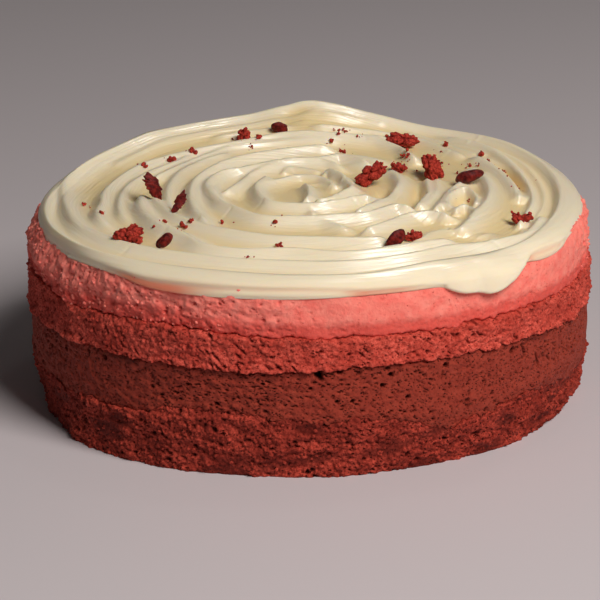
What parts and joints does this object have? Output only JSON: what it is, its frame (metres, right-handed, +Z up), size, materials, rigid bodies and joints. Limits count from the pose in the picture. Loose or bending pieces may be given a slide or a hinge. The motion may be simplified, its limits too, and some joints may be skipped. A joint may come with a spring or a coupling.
{
  "type": "layered mousse cake",
  "caption": "Whole round red velvet mousse cake: alternating sponge and mousse layers under a spread swirl of cream, with dried fruit and loose crumbs on top.",
  "frame": {"origin": "centre of the flat underside, where the cake stands", "axes": "+Z up; the front, where the cream hangs over at its right, faces -Y; +X to the right seen from the front"},
  "size_m": [0.1724, 0.1724, 0.072],
  "materials": {
    "dark_sponge": "matte",
    "dark_mousse": "matte",
    "red_sponge": "matte",
    "pink_mousse": "matte",
    "cream": "satin",
    "dried_fruit": "satin",
    "crumb": "matte"
  },
  "bodies": {
    "root": {"sponge_base": "dark_sponge", "mousse_dark": "dark_mousse", "sponge_upper": "red_sponge", "mousse_pink": "pink_mousse", "cream_swirl": "cream", "dried_fruit_1": "dried_fruit", "dried_fruit_2": "dried_fruit", "dried_fruit_3": "dried_fruit", "dried_fruit_4": "dried_fruit", "dried_flake_1": "dried_fruit", "dried_flake_2": "dried_fruit", "crumb_lump_1": "crumb", "crumb_lump_2": "crumb", "crumb_lump_3": "crumb", "crumb_lump_4": "crumb", "crumb_lump_5": "crumb", "crumb_lump_6": "crumb", "crumb_lump_7": "crumb", "crumb_lump_8": "crumb"}
  },
  "joints": []
}
